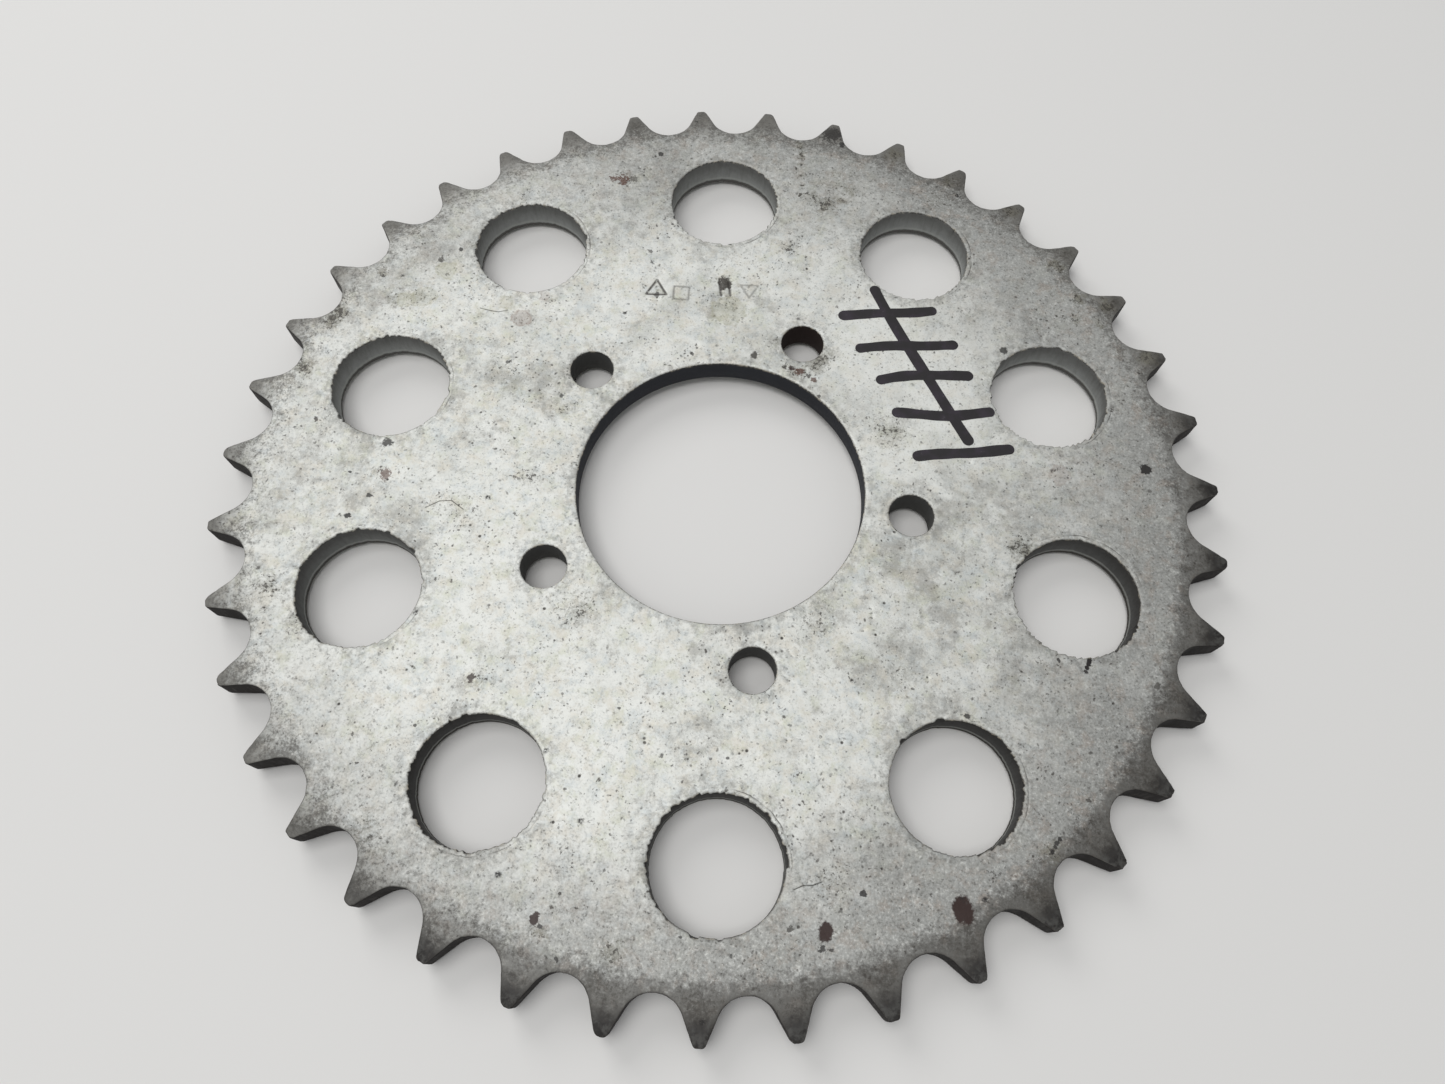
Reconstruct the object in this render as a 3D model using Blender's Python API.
"""Rear drive sprocket for a half-inch pitch motorcycle chain: one flat toothed steel plate.

The plate lies flat with its back face, which seats on the wheel hub, in z = 0 and its outer face up.
The wheel axis is the Z axis, and the +Y axis runs through a tooth tip. Units are metres.
"""

import math

import bmesh
import bpy

# Chain and teeth.
TEETH = 39
CHAIN_PITCH = 0.0127
GAP_DEPTH = 0.00412  # from the pitch circle down to the bottom of each tooth gap
SEAT_RADIUS = 0.00435
SEAT_HALF_ANGLE = math.radians(63.4)
TIP_RADIUS = 0.0812
TOOTH_PHASE = math.radians(90)

# Plate.
THICKNESS = 0.006
TOOTH_BEVEL_DEPTH = 0.001
TOOTH_BEVEL_INSET = 0.0005

# Centre bore, with a chamfer on the hub side only.
BORE_RADIUS = 0.0232
BORE_CHAMFER = 0.0018

# Bolt holes, which a hub's studs or bolts pass through.
BOLTS = 5
BOLT_CIRCLE_RADIUS = 0.0308
BOLT_HOLE_RADIUS = 0.0036
BOLT_CHAMFER = 0.0009
BOLT_PHASE = math.radians(69.5)

# Round lightening windows.
WINDOWS = 10
WINDOW_CIRCLE_RADIUS = 0.05815
WINDOW_RADIUS = 0.00965
WINDOW_PHASE = math.radians(96.0)

# Facets.
SEAT_STEPS = 6
BORE_SEGMENTS = 80
BOLT_SEGMENTS = 20
WINDOW_SEGMENTS = 32

PITCH_RADIUS = CHAIN_PITCH / (2 * math.sin(math.pi / TEETH))
ROOT_RADIUS = PITCH_RADIUS - GAP_DEPTH
FACE_RADIUS = ROOT_RADIUS - TOOTH_BEVEL_INSET
CUT_OVERRUN = 0.002
SMOOTH_BELOW = math.radians(35)


def clear_scene():
    for obj in list(bpy.data.objects):
        bpy.data.objects.remove(obj, do_unlink=True)


def steel_material():
    material = bpy.data.materials.new("zinc_plated_steel")
    material.use_nodes = True
    shader = material.node_tree.nodes["Principled BSDF"]
    shader.inputs["Base Color"].default_value = (0.52, 0.52, 0.49, 1.0)
    shader.inputs["Metallic"].default_value = 0.6
    shader.inputs["Roughness"].default_value = 0.6
    return material


def gap_half_outline():
    """Radius and angle from the gap's centre line, from the seat's bottom up one flank to the tip circle."""
    points = []
    for step in range(SEAT_STEPS + 1):
        turn = SEAT_HALF_ANGLE * step / SEAT_STEPS
        across = SEAT_RADIUS * math.sin(turn)
        outward = ROOT_RADIUS + SEAT_RADIUS * (1 - math.cos(turn))
        points.append((math.hypot(across, outward), math.atan2(across, outward)))
    # The flank leaves the seat along its tangent and ends on the tip circle.
    along = (math.cos(SEAT_HALF_ANGLE), math.sin(SEAT_HALF_ANGLE))
    dot = across * along[0] + outward * along[1]
    length = -dot + math.sqrt(dot**2 + TIP_RADIUS**2 - across**2 - outward**2)
    end = (across + length * along[0], outward + length * along[1])
    points.append((math.hypot(*end), math.atan2(*end)))
    return points


def tooth_outline():
    """Radius and angle of each outline point, once round the plate."""
    half = gap_half_outline()
    outline = []
    for tooth in range(TEETH):
        centre = TOOTH_PHASE + math.tau * (tooth + 0.5) / TEETH
        outline += [(radius, centre - angle) for radius, angle in reversed(half)]
        outline += [(radius, centre + angle) for radius, angle in half[1:]]
    return outline


def bevelled_height(radius):
    """How far each tooth face stands back from the plate's face at this radius."""
    return TOOTH_BEVEL_DEPTH * max(0.0, radius - FACE_RADIUS) / (TIP_RADIUS - FACE_RADIUS)


def ring(bm, points, height):
    return [
        bm.verts.new((radius * math.cos(angle), radius * math.sin(angle), height(radius)))
        for radius, angle in points
    ]


def bridge(bm, lower, upper):
    """Quads between two closed loops that run anticlockwise, facing away from their axis."""
    for i, corner in enumerate(lower):
        following = (i + 1) % len(lower)
        bm.faces.new((corner, lower[following], upper[following], upper[i]))


def toothed_blank():
    """The plate with its bevelled teeth, before any hole."""
    bm = bmesh.new()
    outline = tooth_outline()
    face_edge = [(FACE_RADIUS, angle) for _, angle in outline]
    back_face = ring(bm, face_edge, lambda radius: 0.0)
    back_teeth = ring(bm, outline, bevelled_height)
    front_teeth = ring(bm, outline, lambda radius: THICKNESS - bevelled_height(radius))
    front_face = ring(bm, face_edge, lambda radius: THICKNESS)
    bridge(bm, back_face, back_teeth)
    bridge(bm, back_teeth, front_teeth)
    bridge(bm, front_teeth, front_face)
    bm.faces.new(front_face)
    bm.faces.new(reversed(back_face))
    mesh = bpy.data.meshes.new("sprocket_plate")
    bm.to_mesh(mesh)
    bm.free()
    return mesh


def add_hole_cutter(bm, centre, radius, chamfer, segments):
    """A round plug through the plate, flared by the chamfer where it leaves the back face."""
    profile = [(radius + chamfer + CUT_OVERRUN, -CUT_OVERRUN)] if chamfer else []
    profile += [(radius, chamfer or -CUT_OVERRUN), (radius, THICKNESS + CUT_OVERRUN)]
    loops = []
    for loop_radius, height in profile:
        loop = []
        for i in range(segments):
            angle = math.tau * i / segments
            x = centre[0] + loop_radius * math.cos(angle)
            y = centre[1] + loop_radius * math.sin(angle)
            loop.append(bm.verts.new((x, y, height)))
        loops.append(loop)
    for lower, upper in zip(loops, loops[1:]):
        bridge(bm, lower, upper)
    bm.faces.new(reversed(loops[0]))
    bm.faces.new(loops[-1])


def circle_centres(count, radius, phase):
    angles = [phase + math.tau * i / count for i in range(count)]
    return [(radius * math.cos(angle), radius * math.sin(angle)) for angle in angles]


def hole_cutters():
    """One hidden object that holds the bore, the bolt holes and the windows as separate plugs."""
    bm = bmesh.new()
    add_hole_cutter(bm, (0.0, 0.0), BORE_RADIUS, BORE_CHAMFER, BORE_SEGMENTS)
    for centre in circle_centres(BOLTS, BOLT_CIRCLE_RADIUS, BOLT_PHASE):
        add_hole_cutter(bm, centre, BOLT_HOLE_RADIUS, BOLT_CHAMFER, BOLT_SEGMENTS)
    for centre in circle_centres(WINDOWS, WINDOW_CIRCLE_RADIUS, WINDOW_PHASE):
        add_hole_cutter(bm, centre, WINDOW_RADIUS, 0.0, WINDOW_SEGMENTS)
    mesh = bpy.data.meshes.new("hole_cutters")
    bm.to_mesh(mesh)
    bm.free()
    cutters = bpy.data.objects.new("hole_cutters", mesh)
    cutters.hide_render = True
    cutters.display_type = "WIRE"
    bpy.context.scene.collection.objects.link(cutters)
    return cutters


def make_sprocket_plate():
    plate = bpy.data.objects.new("sprocket_plate", toothed_blank())
    bpy.context.scene.collection.objects.link(plate)
    plate.data.materials.append(steel_material())
    plate.data.shade_smooth()
    plate.data.set_sharp_from_angle(angle=SMOOTH_BELOW)
    cut = plate.modifiers.new("holes", "BOOLEAN")
    cut.operation = "DIFFERENCE"
    cut.solver = "EXACT"
    cut.object = hole_cutters()
    return plate


clear_scene()
make_sprocket_plate()
